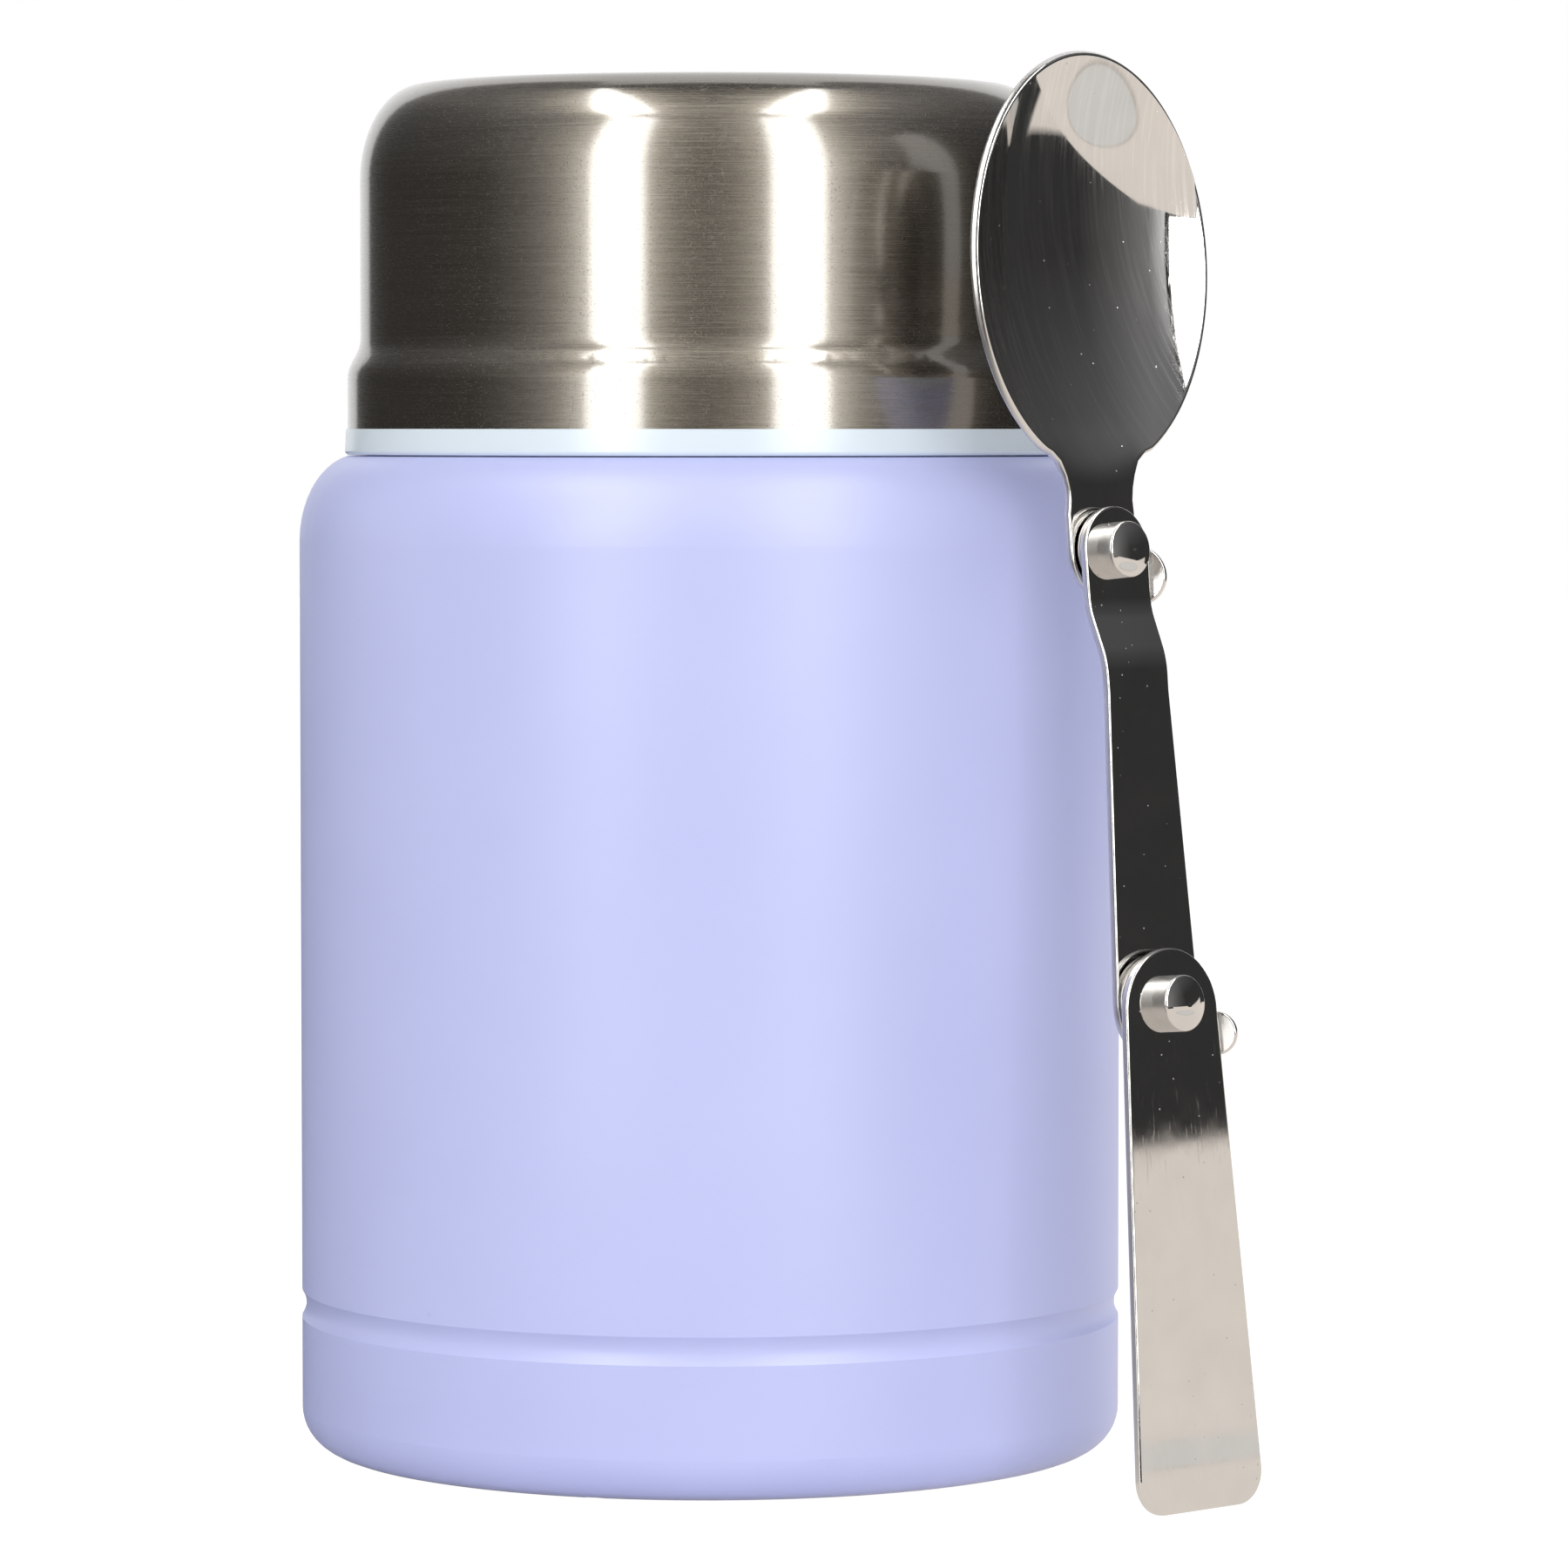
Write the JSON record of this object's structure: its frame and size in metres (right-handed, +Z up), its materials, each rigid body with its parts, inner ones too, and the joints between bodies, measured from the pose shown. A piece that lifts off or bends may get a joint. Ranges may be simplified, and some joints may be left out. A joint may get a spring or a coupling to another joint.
{
  "type": "insulated food jar",
  "caption": "Vacuum-insulated steel food jar with a screw lid over a screw stopper with a vent button, and a folding spoon standing beside it.",
  "frame": {"origin": "centre of the foot ring's circle on the surface that the jar stands on", "axes": "+Z up along the jar's axis; -Y is the side the spoon's face looks towards the viewer from, +X towards the spoon"},
  "size_m": [0.1088, 0.1038, 0.1602],
  "materials": {
    "body_paint": "satin lavender powder coat",
    "steel": "satin stainless steel",
    "lid_steel": "horizontally brushed stainless steel under clear lacquer",
    "polished_steel": "polished stainless steel",
    "solder": "dull solder",
    "getter": "sintered metal",
    "liner_plastic": "glossy pale grey-blue polypropylene",
    "stopper_plastic": "satin pale grey polypropylene",
    "button_plastic": "satin lavender-grey polypropylene",
    "silicone": "translucent white silicone",
    "foam": "expanded foam"
  },
  "bodies": {
    "jar": {"outer_shell": "body_paint", "inner_vessel": "steel", "outer_base": "steel", "base_cap": "steel", "vacuum_seal": "solder", "getter_clip": "steel", "getter_pellet": "getter"},
    "lid_carrier": {"lid_seal": "silicone"},
    "lid": {"lid_shell": "lid_steel", "lid_liner": "liner_plastic", "lid_foam": "foam"},
    "stopper_carrier": {"stopper_gasket": "silicone"},
    "stopper": {"stopper_body": "stopper_plastic", "stopper_cover": "stopper_plastic", "stopper_foam": "foam", "vent_spring": "steel"},
    "vent": {"vent_button": "button_plastic", "vent_seal": "silicone"},
    "handle": {"spoon_handle": "polished_steel", "pivot_rivet_lower": "polished_steel", "spacer_washer_lower": "polished_steel"},
    "link": {"spoon_link": "polished_steel", "pivot_rivet_upper": "polished_steel", "spacer_washer_upper": "polished_steel"},
    "bowl": {"spoon_bowl": "polished_steel"}
  },
  "joints": [
    {"name": "lid_rise", "type": "slide", "parent": "jar", "child": "lid_carrier", "axis": [0, 0, 1], "range_m": [0, 0.048]},
    {"name": "lid_turn", "type": "hinge", "parent": "lid_carrier", "child": "lid", "pos_m": [0, 0, 0.12], "axis": [0, 0, 1], "range_deg": [0, 1440]},
    {"name": "stopper_rise", "type": "slide", "parent": "jar", "child": "stopper_carrier", "axis": [0, 0, 1], "range_m": [0, 0.018]},
    {"name": "stopper_turn", "type": "hinge", "parent": "stopper_carrier", "child": "stopper", "pos_m": [0, 0, 0.12], "axis": [0, 0, 1], "range_deg": [0, 540]},
    {"name": "vent_press", "type": "slide", "parent": "stopper", "child": "vent", "axis": [0, 0, -1], "range_m": [0, 0.002], "stiffness_N_per_m": 900, "springref_m": -0.001, "deforming": ["vent_spring"]},
    {"name": "spoon_lift", "type": "slide", "parent": "jar", "child": "handle", "axis": [0, 0, 1], "range_m": [0, 0.06]},
    {"name": "handle_fold", "type": "hinge", "parent": "handle", "child": "link", "pos_m": [0.05012, -0.04536, 0.05525], "axis": [0.6727, -0.7341, 0.0924], "range_deg": [0, 180]},
    {"name": "bowl_fold", "type": "hinge", "parent": "link", "child": "bowl", "pos_m": [0.0443, -0.03901, 0.10482], "axis": [0.6727, -0.7341, 0.0924], "range_deg": [0, 180]}
  ],
  "couplings": [
    {"joint": "lid_rise", "follows": "lid_turn", "m_per_rad": 0.0019099},
    {"joint": "stopper_rise", "follows": "stopper_turn", "m_per_rad": 0.0019099}
  ]
}
